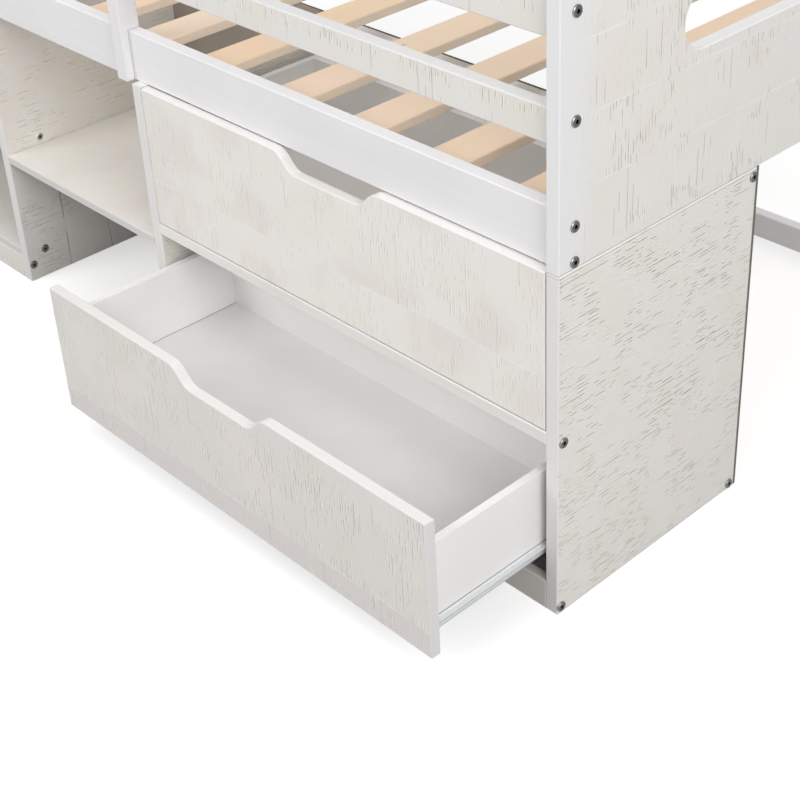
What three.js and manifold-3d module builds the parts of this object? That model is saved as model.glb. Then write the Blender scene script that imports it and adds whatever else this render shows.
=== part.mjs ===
// A low loft bed for a single mattress, in white-washed pine. The deck of loose slats lies between
// two side rails. In front it stands on a drawer cabinet, an open bay with a shelf and a bookcase,
// and behind on two legs joined by a low stretcher. Guard boards run round the deck and leave an
// entry over the bay. Millimetres, +X along the bed, +Y to the back, +Z up.
// The origin is on the floor, in the middle of the outline with the lower drawer drawn out.

import * as THREE from 'three';
import { mergeVertices } from 'three/addons/utils/BufferGeometryUtils.js';
import Module from 'manifold-3d';

const wasm = await Module();
wasm.setup();

// Mattress and frame
const mattressLength = 1905;
const mattressWidth = 990;
const mattressEndPlay = 25;
const mattressSidePlay = 10;
const boardThickness = 22;
const easedEdge = 1.5;
const railSetback = 14;
const railHeight = 83;

// End panels and rear legs
const endPanelHeight = 450;
const endPanelCornerRadius = 45;
const rearLegWidth = 72;
const handSlotHeight = 80;
const handSlotInset = 231;
const handSlotRise = 217;
const stretcherHeight = 50;
const stretcherRise = 30;

// Slats and the ledgers that carry them. The slats lie in two runs with a wider gap between them.
const ledgerThickness = 25;
const ledgerHeight = 30;
const ledgerRise = 12;
const slatCount = 12;
const leftRunSlatCount = 8;
const slatWidth = 68;
const slatThickness = 16;
const slatEndGap = 1;
const firstSlatInset = 32.5;
const lastSlatInset = 41;
const runGapExtra = 23;

// Guard boards and the two posts beside the entry
const guardHeight = 48;
const lowerGuardGap = 82;
const upperGuardGap = 87;
const guardPostWidth = 28;
const guardPostRise = 10;
const guardPostTopRadius = 10;
const rightPostOffset = 9;
const leftPostOffset = 22;

// Cabinets under the deck
const cabinetHeight = 550;
const cabinetDepth = 408;
const backPanelThickness = 4;
const drawerCabinetWidth = 909;
const openBayWidth = 466;
const plinthHeight = 49;
const plinthThickness = 16;
const backRailHeight = 50;
const shelfThickness = 16;
const bayShelfRise = 256;
const bookcasePlinthHeight = 50;
const bookcaseShelfRise = 280;

// Drawer fronts and the rail between them
const midRailHeight = 20;
const midRailDepth = 20;
const frontThickness = 17;
const frontEasedEdge = 1;
const frontSideGap = 2.2;
const lowerFrontHeight = 226;
const lowerFrontBottomGap = 4;
const lowerFrontTopGap = 6;
const upperFrontBottomGap = 3;
const upperFrontTopGap = 2.5;
const scoopDepth = 29;
const scoopFloorWidth = 124;
const scoopShoulderRun = 53;
const scoopHandleShare = 0.5;
const upperScoopShift = 9;
const lowerDrawerPull = 220;

// Drawer boxes
const drawerRearClearance = 58;
const boxRise = 35;
const boxTopInset = 49;
const boxSideThickness = 12;
const boxBottomThickness = 5;
const grooveRise = 15;
const grooveDepth = 6;
const grooveClearance = 0.3;

// Roller slides: a folded channel on the cabinet and a folded angle under each drawer side
const slideGap = 12.7;
const slideSteel = 1.2;
const slideFrontInset = 2;
const flangeInset = 2;
const channelDrop = 4;
const channelFloorGap = 1.8;
const channelRoofGap = 3.8;
const lipRise = 2.8;
const lipSideGap = 3;
const rollerRadius = 6.5;
const rollerPlay = 0.3;
const rollerSideGap = 2;
const rollerEndGap = 1.5;
const rollerPinRadius = 2;
const roofNotchGap = 3;

// How finely round edges are cut, and how far a cutter runs past what it cuts
const curveSteps = 10;
const rollerSteps = 20;
const cutOverrun = 2;

// Sizes that follow from those above
const innerLength = mattressLength + mattressEndPlay;
const innerWidth = mattressWidth + mattressSidePlay;
const bedLength = innerLength + 2 * boardThickness;
const bedWidth = innerWidth + 2 * (railSetback + boardThickness);
const bedHeight = cabinetHeight + endPanelHeight;
const rightPanelX = bedLength - boardThickness;
const frontRailY = railSetback;
const rearRailY = bedWidth - railSetback - boardThickness;
const railTop = cabinetHeight + railHeight;
const lowerGuardZ = railTop + lowerGuardGap;
const upperGuardZ = lowerGuardZ + guardHeight + upperGuardGap;
const guardTop = upperGuardZ + guardHeight;
const drawerCabinetX = bedLength - drawerCabinetWidth;
const drawerBayX = drawerCabinetX + boardThickness;
const drawerBayWidth = drawerCabinetWidth - 2 * boardThickness;
const bookcaseWidth = drawerCabinetX - openBayWidth;
const bookcaseInnerWidth = bookcaseWidth - 2 * boardThickness;

const finishes = {
  rustic: new THREE.MeshStandardMaterial({ color: 0xdedbd3, roughness: 0.72, metalness: 0 }),
  smooth: new THREE.MeshStandardMaterial({ color: 0xe3e3e4, roughness: 0.5, metalness: 0 }),
  pine: new THREE.MeshStandardMaterial({ color: 0xe8d0b4, roughness: 0.68, metalness: 0 }),
  drawerFloor: new THREE.MeshStandardMaterial({ color: 0xcdcdcb, roughness: 0.6, metalness: 0 }),
  hardboard: new THREE.MeshStandardMaterial({ color: 0x8a7a68, roughness: 0.8, metalness: 0 }),
  steel: new THREE.MeshStandardMaterial({ color: 0xcdd4d8, roughness: 0.35, metalness: 0.6 }),
};

// An extrusion runs along one axis of the bed. Its outline is drawn on the other two, in the order
// that keeps the frame right-handed: y and z for x, z and x for y, x and y for z.
const extrusionFrames = {
  x: new THREE.Matrix4().makeBasis(
    new THREE.Vector3(0, 1, 0), new THREE.Vector3(0, 0, 1), new THREE.Vector3(1, 0, 0)),
  y: new THREE.Matrix4().makeBasis(
    new THREE.Vector3(0, 0, 1), new THREE.Vector3(1, 0, 0), new THREE.Vector3(0, 1, 0)),
  z: new THREE.Matrix4(),
};

function extrudeAlong(axis, outline, length, ease = 0) {
  const geometry = new THREE.ExtrudeGeometry(outline, {
    depth: length - 2 * ease,
    curveSegments: curveSteps,
    bevelEnabled: ease > 0,
    bevelSegments: 1,
    bevelThickness: ease,
    bevelSize: ease,
    bevelOffset: -ease,
  });
  geometry.translate(0, 0, ease);
  geometry.applyMatrix4(extrusionFrames[axis]);
  return geometry;
}

function rectangle(wide, high) {
  return new THREE.Shape([
    new THREE.Vector2(0, 0),
    new THREE.Vector2(wide, 0),
    new THREE.Vector2(wide, high),
    new THREE.Vector2(0, high),
  ]);
}

// A sawn board with its lowest corner at the origin and the edges of its two broad faces eased.
function boardGeometry(wide, deep, tall, ease = easedEdge) {
  const thin = Math.min(wide, deep, tall);
  if (thin === wide) {
    return extrudeAlong('x', rectangle(deep, tall), wide, ease);
  }
  if (thin === deep) {
    return extrudeAlong('y', rectangle(tall, wide), deep, ease);
  }
  return extrudeAlong('z', rectangle(wide, deep), tall, ease);
}

function toSolid(geometry) {
  const bare = geometry.clone();
  bare.deleteAttribute('normal');
  bare.deleteAttribute('uv');
  const merged = mergeVertices(bare);
  return new wasm.Manifold(new wasm.Mesh({
    numProp: 3,
    vertProperties: new Float32Array(merged.attributes.position.array),
    triVerts: new Uint32Array(merged.index.array),
  }));
}

function toGeometry(solid) {
  const mesh = solid.getMesh();
  const geometry = new THREE.BufferGeometry();
  geometry.setAttribute('position', new THREE.BufferAttribute(new Float32Array(mesh.vertProperties), 3));
  geometry.setIndex(new THREE.BufferAttribute(new Uint32Array(mesh.triVerts), 1));
  geometry.computeVertexNormals();
  return geometry;
}

function addPiece(parent, name, geometry, finish, x, y, z) {
  const mesh = new THREE.Mesh(geometry, finish);
  mesh.name = name;
  mesh.position.set(x, y, z);
  parent.add(mesh);
}

function addBoard(parent, name, finish, wide, deep, tall, x, y, z) {
  addPiece(parent, name, boardGeometry(wide, deep, tall), finish, x, y, z);
}

// End panels: wide boards with the outer top corner rounded and a long hand slot. The panel stops
// at the rear leg, which carries the outline on down to the floor.
function endPanelOutline() {
  const depth = bedWidth - rearLegWidth;
  const outline = new THREE.Shape();
  outline.moveTo(0, 0);
  outline.lineTo(depth, 0);
  outline.lineTo(depth, endPanelHeight);
  outline.lineTo(endPanelCornerRadius, endPanelHeight);
  outline.absarc(
    endPanelCornerRadius, endPanelHeight - endPanelCornerRadius, endPanelCornerRadius,
    Math.PI / 2, Math.PI, false);
  outline.closePath();
  const radius = handSlotHeight / 2;
  const slotMiddle = handSlotRise + radius;
  const slot = new THREE.Path();
  slot.absarc(bedWidth - handSlotInset - radius, slotMiddle, radius, -Math.PI / 2, Math.PI / 2, false);
  slot.absarc(handSlotInset + radius, slotMiddle, radius, Math.PI / 2, 3 * Math.PI / 2, false);
  slot.closePath();
  outline.holes.push(slot);
  return outline;
}

function rearLegOutline() {
  const outline = new THREE.Shape();
  outline.moveTo(0, 0);
  outline.lineTo(rearLegWidth, 0);
  outline.lineTo(rearLegWidth, bedHeight - endPanelCornerRadius);
  outline.absarc(
    rearLegWidth - endPanelCornerRadius, bedHeight - endPanelCornerRadius, endPanelCornerRadius,
    0, Math.PI / 2, false);
  outline.lineTo(0, bedHeight);
  outline.closePath();
  return outline;
}

function addEnds(bed) {
  const legY = bedWidth - rearLegWidth;
  for (const [side, x] of [['right', rightPanelX], ['left', 0]]) {
    const panel = extrudeAlong('x', endPanelOutline(), boardThickness, easedEdge);
    const leg = extrudeAlong('x', rearLegOutline(), boardThickness, easedEdge);
    addPiece(bed, `end_panel_${side}`, panel, finishes.rustic, x, 0, cabinetHeight);
    addPiece(bed, `rear_leg_${side}`, leg, finishes.rustic, x, legY, 0);
  }
}

// Deck: two side rails between the end panels, a ledger on the inside of each, and slats across.
function addDeck(bed) {
  const x = boardThickness;
  const { smooth, pine } = finishes;
  addBoard(bed, 'front_side_rail', smooth, innerLength, boardThickness, railHeight, x, frontRailY, cabinetHeight);
  addBoard(bed, 'rear_side_rail', smooth, innerLength, boardThickness, railHeight, x, rearRailY, cabinetHeight);
  const ledgerZ = cabinetHeight + ledgerRise;
  const frontLedgerY = frontRailY + boardThickness;
  const rearLedgerY = rearRailY - ledgerThickness;
  addBoard(bed, 'front_slat_ledger', pine, innerLength, ledgerThickness, ledgerHeight, x, frontLedgerY, ledgerZ);
  addBoard(bed, 'rear_slat_ledger', pine, innerLength, ledgerThickness, ledgerHeight, x, rearLedgerY, ledgerZ);
  const slatLength = innerWidth - 2 * slatEndGap;
  const firstSlatX = boardThickness + firstSlatInset;
  const slatRun = innerLength - firstSlatInset - lastSlatInset - runGapExtra - slatWidth;
  const slatPitch = slatRun / (slatCount - 1);
  for (let i = 0; i < slatCount; i += 1) {
    const name = `slat_${String(i + 1).padStart(2, '0')}`;
    const slatX = firstSlatX + i * slatPitch + (i < leftRunSlatCount ? 0 : runGapExtra);
    addBoard(bed, name, pine, slatWidth, slatLength, slatThickness,
      slatX, frontLedgerY + slatEndGap, ledgerZ + ledgerHeight);
  }
  const stretcherY = rearRailY;
  addBoard(bed, 'rear_stretcher', smooth, innerLength, boardThickness, stretcherHeight, x, stretcherY, stretcherRise);
}

// A guard post laps the outside of the front rail, is notched over its top edge and ends flush with
// its inner face. Its outline is drawn on y and z.
function guardPostOutline() {
  const depth = railSetback + boardThickness;
  const top = guardTop + guardPostRise - cabinetHeight;
  const radius = guardPostTopRadius;
  const outline = new THREE.Shape();
  outline.moveTo(0, 0);
  outline.lineTo(railSetback, 0);
  outline.lineTo(railSetback, railHeight);
  outline.lineTo(depth, railHeight);
  outline.lineTo(depth, top - radius);
  outline.absarc(depth - radius, top - radius, radius, 0, Math.PI / 2, false);
  outline.lineTo(radius, top);
  outline.absarc(radius, top - radius, radius, Math.PI / 2, Math.PI, false);
  outline.closePath();
  return outline;
}

function addGuards(bed) {
  const rightPostX = drawerCabinetX - rightPostOffset - guardPostWidth;
  const leftPostX = bookcaseWidth + leftPostOffset - guardPostWidth;
  for (const [side, x] of [['right', rightPostX], ['left', leftPostX]]) {
    const post = extrudeAlong('x', guardPostOutline(), guardPostWidth, easedEdge);
    addPiece(bed, `guard_post_${side}`, post, finishes.smooth, x, 0, cabinetHeight);
  }
  const rightStart = rightPostX + guardPostWidth;
  const runs = [
    ['front_guard_right', rightStart, rightPanelX - rightStart, frontRailY],
    ['front_guard_left', boardThickness, leftPostX - boardThickness, frontRailY],
    ['rear_guard', boardThickness, innerLength, rearRailY],
  ];
  for (const [name, x, length, y] of runs) {
    addBoard(bed, `${name}_lower`, finishes.rustic, length, boardThickness, guardHeight, x, y, lowerGuardZ);
    addBoard(bed, `${name}_upper`, finishes.rustic, length, boardThickness, guardHeight, x, y, upperGuardZ);
  }
}

// Drawer cabinet: two sides, a plinth and a rail between the drawers in front, a rail across the
// top at the back, and a thin panel nailed over the back edges.
function addDrawerCabinet(bed) {
  const { rustic, smooth, hardboard } = finishes;
  const side = (name, x) => addBoard(bed, name, rustic, boardThickness, cabinetDepth, cabinetHeight, x, 0, 0);
  side('cabinet_side_right', rightPanelX);
  side('cabinet_side_left', drawerCabinetX);
  addBoard(bed, 'cabinet_plinth', smooth, drawerBayWidth, plinthThickness, plinthHeight, drawerBayX, 0, 0);
  const midRailZ = plinthHeight + lowerFrontBottomGap + lowerFrontHeight + lowerFrontTopGap;
  addBoard(bed, 'cabinet_mid_rail', smooth, drawerBayWidth, midRailDepth, midRailHeight, drawerBayX, 0, midRailZ);
  addBoard(bed, 'cabinet_back_rail', smooth, drawerBayWidth, boardThickness, backRailHeight,
    drawerBayX, cabinetDepth - boardThickness, cabinetHeight - backRailHeight);
  addPiece(bed, 'cabinet_back_panel', boardGeometry(drawerCabinetWidth, backPanelThickness, cabinetHeight, 0),
    hardboard, drawerCabinetX, cabinetDepth, 0);
}

// Bookcase with its plinth, bottom and one shelf, and the open bay's shelf beside it. One thin back
// panel closes both and meets the drawer cabinet's.
function addShelves(bed) {
  const { rustic, hardboard } = finishes;
  const side = (name, x) => addBoard(bed, name, rustic, boardThickness, cabinetDepth, cabinetHeight, x, 0, 0);
  side('bookcase_side_left', 0);
  side('bookcase_side_right', bookcaseWidth - boardThickness);
  const shelf = (name, x, width, z) => {
    addBoard(bed, name, rustic, width, cabinetDepth, shelfThickness, x, 0, z);
  };
  addBoard(bed, 'bookcase_plinth', rustic, bookcaseInnerWidth, plinthThickness, bookcasePlinthHeight,
    boardThickness, 0, 0);
  shelf('bookcase_bottom', boardThickness, bookcaseInnerWidth, bookcasePlinthHeight);
  shelf('bookcase_shelf', boardThickness, bookcaseInnerWidth, bookcaseShelfRise);
  shelf('bay_shelf', bookcaseWidth, openBayWidth, bayShelfRise);
  const backWidth = bookcaseWidth + openBayWidth;
  addPiece(bed, 'bookcase_back_panel', boardGeometry(backWidth, backPanelThickness, cabinetHeight, 0),
    hardboard, 0, cabinetDepth, 0);
}

// Drawer sizes. A drawer is drawn with the lower left corner of its front at the origin.
const frontWidth = drawerBayWidth - 2 * frontSideGap;
const drawerDepth = cabinetDepth - drawerRearClearance;
const boxWidth = drawerBayWidth - 2 * slideGap;
const boxX = (frontWidth - boxWidth) / 2;
const boxLength = drawerDepth - frontThickness;
const bottomWidth = boxWidth - 2 * (boxSideThickness - grooveDepth + grooveClearance);
const bottomX = boxX + boxSideThickness - grooveDepth + grooveClearance;
const bottomY = frontThickness - grooveDepth + grooveClearance;
const bottomZ = boxRise + grooveRise + grooveClearance;
const grooveHeight = boxBottomThickness + 2 * grooveClearance;

// The front's top edge dips in a hand scoop with a flat floor between two S-shaped shoulders, its
// middle scoopShift to the right of the front's. The outline is drawn on z and x, so each point is
// given as height first.
function frontOutline(height, scoopShift) {
  const middle = frontWidth / 2 + scoopShift;
  const floorEnd = scoopFloorWidth / 2;
  const topEnd = floorEnd + scoopShoulderRun;
  const handle = scoopShoulderRun * scoopHandleShare;
  const floor = height - scoopDepth;
  const outline = new THREE.Shape();
  outline.moveTo(0, 0);
  outline.lineTo(height, 0);
  outline.lineTo(height, middle - topEnd);
  outline.bezierCurveTo(
    height, middle - topEnd + handle, floor, middle - floorEnd - handle, floor, middle - floorEnd);
  outline.lineTo(floor, middle + floorEnd);
  outline.bezierCurveTo(
    floor, middle + floorEnd + handle, height, middle + topEnd - handle, height, middle + topEnd);
  outline.lineTo(height, frontWidth);
  outline.lineTo(0, frontWidth);
  outline.closePath();
  return outline;
}

function frontGeometry(height, scoopShift) {
  const outline = frontOutline(height, scoopShift);
  const blank = toSolid(extrudeAlong('y', outline, frontThickness, frontEasedEdge));
  const cutter = new THREE.BoxGeometry(bottomWidth + 2 * grooveClearance, grooveDepth + cutOverrun, grooveHeight);
  cutter.translate(
    frontWidth / 2,
    frontThickness - grooveDepth + (grooveDepth + cutOverrun) / 2,
    boxRise + grooveRise + grooveHeight / 2);
  return toGeometry(blank.subtract(toSolid(cutter)));
}

// A box side has a groove near its lower edge for the bottom panel. mirror is 1 for a left side,
// whose groove faces +x, and -1 for a right side. The outline is drawn on z and x.
function boxSideOutline(height, mirror) {
  const outer = 0;
  const inner = mirror * boxSideThickness;
  const grooveFloor = mirror * (boxSideThickness - grooveDepth);
  const grooveTop = grooveRise + grooveHeight;
  return new THREE.Shape([
    new THREE.Vector2(0, outer),
    new THREE.Vector2(height, outer),
    new THREE.Vector2(height, inner),
    new THREE.Vector2(grooveTop, inner),
    new THREE.Vector2(grooveTop, grooveFloor),
    new THREE.Vector2(grooveRise, grooveFloor),
    new THREE.Vector2(grooveRise, inner),
    new THREE.Vector2(0, inner),
  ]);
}

// The slide's cross-section is worked out from the gap beside the drawer, the sheet and the roller.
// Across the gap, sizes count from the box side's outer face to the cabinet. Heights count from
// the box side's lower edge.
const channelFloorTop = slideSteel - channelDrop;
const channelRoofUnder = channelFloorTop + 2 * (rollerRadius + rollerPlay);
const channelTop = channelRoofUnder + slideSteel;
const lipUnder = channelTop + lipRise;
const channelWebInner = slideGap - slideSteel;
const lipReach = channelWebInner - lipSideGap;
const rollerStart = slideSteel + rollerSideGap;
const rollerEnd = channelWebInner - rollerSideGap;
const rollerEndInset = rollerEndGap + rollerRadius;
const flangeReach = boxSideThickness - flangeInset;

// A nylon roller on its steel pin, both along x, at height z and depth y. The pin runs from the
// sheet it is riveted to, at pinX, to the roller's far face.
function rollerSolid(out, pinX, y, z) {
  const cylinder = (radius, fromX, toX) => {
    const geometry = new THREE.CylinderGeometry(radius, radius, Math.abs(toX - fromX), rollerSteps);
    geometry.rotateZ(Math.PI / 2);
    geometry.translate(out * (fromX + toX) / 2, y, z);
    return toSolid(geometry);
  };
  const farX = pinX < rollerStart ? rollerEnd : rollerStart;
  return cylinder(rollerRadius, rollerStart, rollerEnd).add(cylinder(rollerPinRadius, pinX, farX));
}

// The angle under a drawer side: a flange below the wood, a web up its outer face and a lip out
// over the cabinet's front roller. Its own roller sits at the rear end. x is 0 at the wood's outer
// face and out is 1 or -1, the way to the cabinet side. The outline is drawn on z and x.
function drawerMemberGeometry(out) {
  const lipTop = lipUnder + slideSteel;
  const points = [
    [-slideSteel, -flangeReach],
    [-slideSteel, slideSteel],
    [lipUnder, slideSteel],
    [lipUnder, lipReach],
    [lipTop, lipReach],
    [lipTop, 0],
    [0, 0],
    [0, -flangeReach],
  ];
  const outline = new THREE.Shape(points.map(([high, across]) => new THREE.Vector2(high, out * across)));
  const rollerZ = channelFloorTop + rollerPlay + rollerRadius;
  const roller = rollerSolid(out, slideSteel / 2, boxLength - rollerEndInset, rollerZ);
  return toGeometry(toSolid(extrudeAlong('y', outline, boxLength)).add(roller));
}

// The channel on the cabinet side: a web on the wood, a floor that the drawer's roller runs on and
// a roof that keeps it down. The roof is cut away over the channel's own roller at the front.
function cabinetMemberGeometry(out) {
  const floorEdge = slideSteel + channelFloorGap;
  const roofEdge = slideSteel + channelRoofGap;
  const points = [
    [-channelDrop, slideGap],
    [-channelDrop, floorEdge],
    [channelFloorTop, floorEdge],
    [channelFloorTop, channelWebInner],
    [channelRoofUnder, channelWebInner],
    [channelRoofUnder, roofEdge],
    [channelTop, roofEdge],
    [channelTop, slideGap],
  ];
  const outline = new THREE.Shape(points.map(([high, across]) => new THREE.Vector2(high, out * across)));
  const channel = toSolid(extrudeAlong('y', outline, drawerDepth));
  const notchEnd = rollerEndInset + rollerRadius + roofNotchGap;
  const notch = new THREE.BoxGeometry(channelWebInner, notchEnd + cutOverrun, 2 * slideSteel);
  notch.translate(out * channelWebInner / 2, (notchEnd - cutOverrun) / 2, channelTop);
  const rollerZ = lipUnder - rollerPlay - rollerRadius;
  const roller = rollerSolid(out, channelWebInner + slideSteel / 2, rollerEndInset, rollerZ);
  return toGeometry(channel.subtract(toSolid(notch)).add(roller));
}

// A drawer and the cabinet halves of its slides. frontZ is the height of its front's lower edge and
// pull is how far it is drawn out.
function addDrawer(bed, name, frontHeight, frontZ, scoopShift, pull) {
  const { rustic, smooth, drawerFloor, steel } = finishes;
  const boxHeight = frontHeight - boxRise - boxTopInset;
  const drawer = new THREE.Group();
  drawer.position.set(drawerBayX + frontSideGap, -pull, frontZ);
  bed.add(drawer);
  addPiece(drawer, `${name}_front`, frontGeometry(frontHeight, scoopShift), rustic, 0, 0, 0);
  for (const [side, x, mirror] of [['left', boxX, 1], ['right', boxX + boxWidth, -1]]) {
    const wall = extrudeAlong('y', boxSideOutline(boxHeight, mirror), boxLength);
    addPiece(drawer, `${name}_side_${side}`, wall, smooth, x, frontThickness, boxRise);
    addPiece(drawer, `${name}_slide_${side}`, drawerMemberGeometry(-mirror), steel, x, frontThickness, boxRise);
    const channel = cabinetMemberGeometry(-mirror);
    addPiece(bed, `${name}_channel_${side}`, channel, steel,
      drawer.position.x + x, frontThickness + slideFrontInset, frontZ + boxRise);
  }
  addPiece(drawer, `${name}_bottom`, boardGeometry(bottomWidth, drawerDepth - bottomY, boxBottomThickness, 0),
    drawerFloor, bottomX, bottomY, bottomZ);
  const backZ = bottomZ + boxBottomThickness;
  addPiece(drawer, `${name}_back`,
    boardGeometry(boxWidth - 2 * boxSideThickness, boxSideThickness, boxRise + boxHeight - backZ, 0),
    smooth, boxX + boxSideThickness, drawerDepth - boxSideThickness, backZ);
}

function addDrawers(bed) {
  const lowerZ = plinthHeight + lowerFrontBottomGap;
  const upperZ = lowerZ + lowerFrontHeight + lowerFrontTopGap + midRailHeight + upperFrontBottomGap;
  const upperFrontHeight = cabinetHeight - upperFrontTopGap - upperZ;
  addDrawer(bed, 'lower_drawer', lowerFrontHeight, lowerZ, 0, lowerDrawerPull);
  addDrawer(bed, 'upper_drawer', upperFrontHeight, upperZ, upperScoopShift, 0);
}

const group = new THREE.Group();
group.position.set(-bedLength / 2, -(bedWidth - lowerDrawerPull) / 2, 0);
addEnds(group);
addDeck(group);
addGuards(group);
addDrawerCabinet(group);
addShelves(group);
addDrawers(group);

export default group;
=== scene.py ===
# The looks of a low loft bed in white-washed pine: a slatted deck with guard boards, standing on a
# drawer cabinet, an open bay with a shelf and a bookcase, and behind on two legs. Metres, +X along
# the bed, +Y to the back, +Z up. Each section dresses one group of pieces.
import math
import random

import bmesh
import bpy
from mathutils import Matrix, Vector


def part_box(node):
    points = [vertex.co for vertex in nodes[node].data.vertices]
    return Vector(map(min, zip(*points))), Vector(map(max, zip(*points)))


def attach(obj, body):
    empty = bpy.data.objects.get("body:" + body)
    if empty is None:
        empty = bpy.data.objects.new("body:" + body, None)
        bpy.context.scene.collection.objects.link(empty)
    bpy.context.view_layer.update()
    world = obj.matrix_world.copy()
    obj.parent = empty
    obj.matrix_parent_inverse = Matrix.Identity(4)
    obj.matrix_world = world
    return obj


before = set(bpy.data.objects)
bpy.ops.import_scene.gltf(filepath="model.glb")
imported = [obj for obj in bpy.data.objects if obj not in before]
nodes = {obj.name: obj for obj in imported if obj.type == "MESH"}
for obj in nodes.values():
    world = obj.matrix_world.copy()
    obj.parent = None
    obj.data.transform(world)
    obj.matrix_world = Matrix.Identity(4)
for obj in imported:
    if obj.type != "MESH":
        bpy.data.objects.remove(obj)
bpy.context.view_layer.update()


# Camera
# It looks down on the drawer corner from the front right, as a photographer on a step would.
camera_place = (2.0981, -1.6728, 1.5312)
camera_turn_degrees = (58.69, 2.307, 46.032)
camera_lens_mm = 70.84
camera_shift = (-0.03, -0.12)

camera_data = bpy.data.cameras.new("camera")
camera_data.lens = camera_lens_mm
camera_data.shift_x, camera_data.shift_y = camera_shift
camera = bpy.data.objects.new("camera", camera_data)
camera.location = camera_place
camera.rotation_euler = [math.radians(turn) for turn in camera_turn_degrees]
bpy.context.scene.collection.objects.link(camera)
bpy.context.scene.camera = camera
bpy.context.scene.view_settings.view_transform = "Standard"


# Floor, backdrop and lamps
# A paper sheet that the bed stands on, a white surround, and three wide lamps: to the right, in front
# and overhead. The sheet is lifted to white and keeps the bed's soft shadow, but the lift is left off
# under the cabinets, which paints a shadow there.
class Graph:
    """Adds nodes to one tree. An input is a plain value or the output of another node."""

    def __init__(self, tree):
        self.tree = tree

    def feed(self, socket, value):
        if isinstance(value, bpy.types.NodeSocket):
            self.tree.links.new(value, socket)
        else:
            socket.default_value = value

    def add(self, kind, inputs, output=0, **settings):
        node = self.tree.nodes.new(kind)
        for setting, value in settings.items():
            setattr(node, setting, value)
        for socket, value in inputs.items():
            self.feed(node.inputs[socket], value)
        return node.outputs[output]


floor_half_width = 9
plain_white = (1, 1, 1, 1)
surround_light = 0.49
surround_light_seen = 1.0
floor_paper = (0.78, 0.78, 0.78, 1)
floor_bounce = (0.30, 0.30, 0.30, 1)
floor_white_lift = 0.48

world = bpy.data.worlds.new("surround")
world.use_nodes = True
bpy.context.scene.world = world
sky = Graph(world.node_tree)


def seen_directly(graph):
    """One for rays that show the backdrop: the camera's own, mirrored or let through."""
    seen = 0.0
    for kind in ("Is Camera Ray", "Is Glossy Ray", "Is Transmission Ray"):
        ray = graph.add("ShaderNodeLightPath", {}, kind)
        seen = graph.add("ShaderNodeMath", {0: seen, 1: ray}, operation="MAXIMUM")
    return seen


sky.feed(
    world.node_tree.nodes["World Output"].inputs["Surface"],
    sky.add(
        "ShaderNodeMixShader",
        {
            0: seen_directly(sky),
            1: sky.add("ShaderNodeBackground", {"Color": plain_white, "Strength": surround_light}),
            2: sky.add("ShaderNodeBackground",
                       {"Color": plain_white, "Strength": surround_light_seen}),
        },
    ),
)

sheet = bmesh.new()
bmesh.ops.create_grid(sheet, x_segments=1, y_segments=1, size=floor_half_width)
floor_mesh = bpy.data.meshes.new("floor")
sheet.to_mesh(floor_mesh)
sheet.free()
floor = bpy.data.objects.new("floor", floor_mesh)
bpy.context.scene.collection.objects.link(floor)
paper = bpy.data.materials.new("floor paper")
paper.use_nodes = True
paper.node_tree.nodes.remove(paper.node_tree.nodes["Principled BSDF"])
paper_graph = Graph(paper.node_tree)
dull_paper = paper_graph.add("ShaderNodeBsdfDiffuse", {"Color": floor_bounce})
matt_paper = paper_graph.add("ShaderNodeBsdfDiffuse", {"Color": floor_paper})
floor_place = paper_graph.add("ShaderNodeTexCoord", {}, "Object")
shadow_under_cabinets = 1.0
for axis, low, high in zip("XY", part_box("cabinet_side_left")[0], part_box("cabinet_side_right")[1]):
    place = paper_graph.add("ShaderNodeSeparateXYZ", {0: floor_place}, axis)
    middle, reach = (low + high) / 2, (high - low) / 2
    inside = paper_graph.add("ShaderNodeMath", {0: place, 1: middle, 2: reach}, operation="COMPARE")
    shadow_under_cabinets = paper_graph.add("ShaderNodeMath", {0: shadow_under_cabinets, 1: inside}, operation="MULTIPLY")
lift = paper_graph.add(
    "ShaderNodeMapRange", {"Value": shadow_under_cabinets, "To Min": floor_white_lift, "To Max": 0.0})
paper_glow = paper_graph.add("ShaderNodeEmission", {"Color": plain_white, "Strength": lift})
paper_graph.feed(
    paper.node_tree.nodes["Material Output"].inputs["Surface"],
    paper_graph.add(
        "ShaderNodeMixShader",
        {
            0: seen_directly(paper_graph),
            1: dull_paper,
            2: paper_graph.add("ShaderNodeAddShader", {0: matt_paper, 1: paper_glow}),
        },
    ),
)
floor.data.materials.append(paper)


def hang_lamp(name, bearing, height_angle, distance, size, light):
    """A round lamp aimed at the drawers. bearing turns from the front towards the drawer end, both
    angles are in degrees, and light is how bright white paper facing the lamp would look."""
    turn, rise = math.radians(bearing), math.radians(height_angle)
    level = math.cos(rise)
    way = Vector((math.sin(turn) * level, -math.cos(turn) * level, math.sin(rise)))
    lamp_data = bpy.data.lights.new(name, "AREA")
    lamp_data.shape = "DISK"
    lamp_data.size = size
    lamp_data.energy = light * (math.pi * distance) ** 2
    lamp = bpy.data.objects.new(name, lamp_data)
    lamp.location = lamp_aim + distance * way
    lamp.rotation_euler = way.to_track_quat("Z", "Y").to_euler()
    lamp.visible_camera = False
    bpy.context.scene.collection.objects.link(lamp)


lamp_aim = Vector((0.4, -0.3, 0.4))
hang_lamp("wide lamp at the right",
          bearing=68, height_angle=28, distance=4.6, size=2.8, light=0.47)
hang_lamp("wide lamp in front", bearing=-25, height_angle=30, distance=4.2, size=2.4, light=0.33)
hang_lamp("wide lamp overhead", bearing=0, height_angle=89, distance=4.2, size=3.6, light=0.21)


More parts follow.
